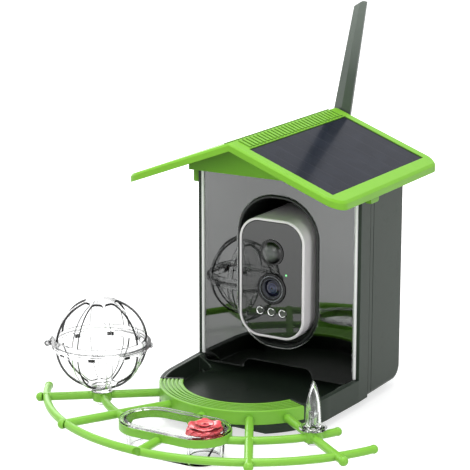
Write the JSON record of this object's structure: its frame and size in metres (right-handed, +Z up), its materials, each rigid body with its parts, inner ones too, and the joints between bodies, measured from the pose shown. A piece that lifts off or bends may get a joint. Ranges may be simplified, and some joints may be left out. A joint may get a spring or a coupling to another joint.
{
  "type": "smart bird feeder",
  "caption": "Bird feeder house with a pull-out camera, solar roof that lifts off, seed tray, rod perch, hinged ball cage, nectar cup, fruit spike and tilting antenna.",
  "frame": {"origin": "mouth of the threaded insert, in the bottom face of the mounting plate that the feeder stands on", "axes": "+X to the feeder's right side as seen from the front, +Y to the back, +Z up; the window and the camera face -Y"},
  "size_m": [0.277, 0.2994, 0.2937],
  "materials": {
    "shell_plastic": "fine matt",
    "liner_plastic": "fine matt",
    "clear_window": "clear gloss",
    "rail_plastic": "satin white",
    "pod_plastic": "satin",
    "green_roof": "satin",
    "green_perch": "satin",
    "steel": "plain",
    "brass": "turned",
    "solar_glass": "dark clear gloss",
    "solar_cell": "dark blue-black",
    "seal_rubber": "matt",
    "camera_white": "satin white",
    "camera_dark": "gloss dark grey",
    "sensor_dome": "translucent dark",
    "lens_black": "gloss black",
    "trim_silver": "bright",
    "lens_glass": "coated",
    "lamp_glass": "gloss",
    "light_green": "lit",
    "board_green": "printed board",
    "cell_wrap": "shrink wrap",
    "holder_plastic": "matt",
    "antenna_plastic": "satin",
    "clear_plastic": "clear gloss",
    "flower_red": "gloss"
  },
  "bodies": {
    "house": {"rear_shell": "shell_plastic", "front_frame": "shell_plastic", "seed_liner": "liner_plastic", "window": "clear_window", "window_rails": "rail_plastic", "camera_pod": "pod_plastic", "camera_cradle": "pod_plastic", "perch": "green_perch", "perch_screws": "steel", "mounting_plate": "shell_plastic", "threaded_insert": "brass", "base_screws": "steel", "pod_screws": "steel", "antenna_socket": "brass", "antenna_nut": "steel"},
    "roof": {"roof_shell": "green_roof", "solar_cover": "solar_glass", "solar_cells": "solar_cell", "solar_seal": "seal_rubber", "lead_grommet": "seal_rubber"},
    "camera": {"camera_body": "camera_white", "camera_face": "camera_dark", "camera_back": "camera_white", "pir_lens": "sensor_dome", "lens_ring": "lens_black", "lens_trim": "trim_silver", "lens_barrel": "lens_black", "lens_glass": "lens_glass", "ir_lenses": "lamp_glass", "status_light": "light_green", "camera_board": "board_green", "battery_cells": "cell_wrap", "battery_holder": "holder_plastic", "camera_screws": "steel", "charge_port": "steel"},
    "button": {"power_button": "seal_rubber"},
    "flap": {"port_flap": "seal_rubber"},
    "antenna_elbow": {"antenna_base": "antenna_plastic"},
    "antenna_arm": {"antenna_pin": "steel", "antenna_blade": "antenna_plastic"},
    "cage_bottom": {"cage_lower": "clear_plastic", "cage_pin": "steel"},
    "cage_lid": {"cage_upper": "clear_plastic"},
    "cup": {"nectar_cup": "clear_plastic"},
    "flower": {"flower_cap": "flower_red"},
    "spike": {"fruit_spike": "clear_plastic"}
  },
  "joints": [
    {"name": "roof_lift", "type": "slide", "parent": "house", "child": "roof", "axis": [0, 0, 1], "range_m": [0, 0.12]},
    {"name": "camera_slide", "type": "slide", "parent": "house", "child": "camera", "axis": [0, -1, 0], "range_m": [0, 0.07]},
    {"name": "button_press", "type": "slide", "parent": "camera", "child": "button", "axis": [0, -1, 0], "range_m": [0, 0.0008], "stiffness_N_per_m": 500},
    {"name": "flap_hinge", "type": "hinge", "parent": "camera", "child": "flap", "pos_m": [0, 0.0112, 0.0536], "axis": [-1, 0, 0], "range_deg": [0, 100]},
    {"name": "cage_lift", "type": "slide", "parent": "house", "child": "cage_bottom", "axis": [0, 0, 1], "range_m": [0, 0.03]},
    {"name": "cage_open", "type": "hinge", "parent": "cage_bottom", "child": "cage_lid", "pos_m": [-0.12351, -0.16054, 0.0574], "axis": [0.3827, -0.9239, 0], "range_deg": [0, 110]},
    {"name": "cup_lift", "type": "slide", "parent": "house", "child": "cup", "axis": [0, 0, 1], "range_m": [0, 0.04]},
    {"name": "flower_lift", "type": "slide", "parent": "cup", "child": "flower", "axis": [0, 0, 1], "range_m": [0, 0.02]},
    {"name": "spike_lift", "type": "slide", "parent": "house", "child": "spike", "axis": [0, 0, 1], "range_m": [0, 0.02]},
    {"name": "antenna_swivel", "type": "hinge", "parent": "house", "child": "antenna_elbow", "pos_m": [0, 0.047, 0.19], "axis": [0, 1, 0], "range_deg": [-99.65, 80.35]},
    {"name": "antenna_tilt", "type": "hinge", "parent": "antenna_elbow", "child": "antenna_arm", "pos_m": [0, 0.062, 0.19], "axis": [-0.9859, 0, 0.1676], "range_deg": [0, 90]}
  ]
}
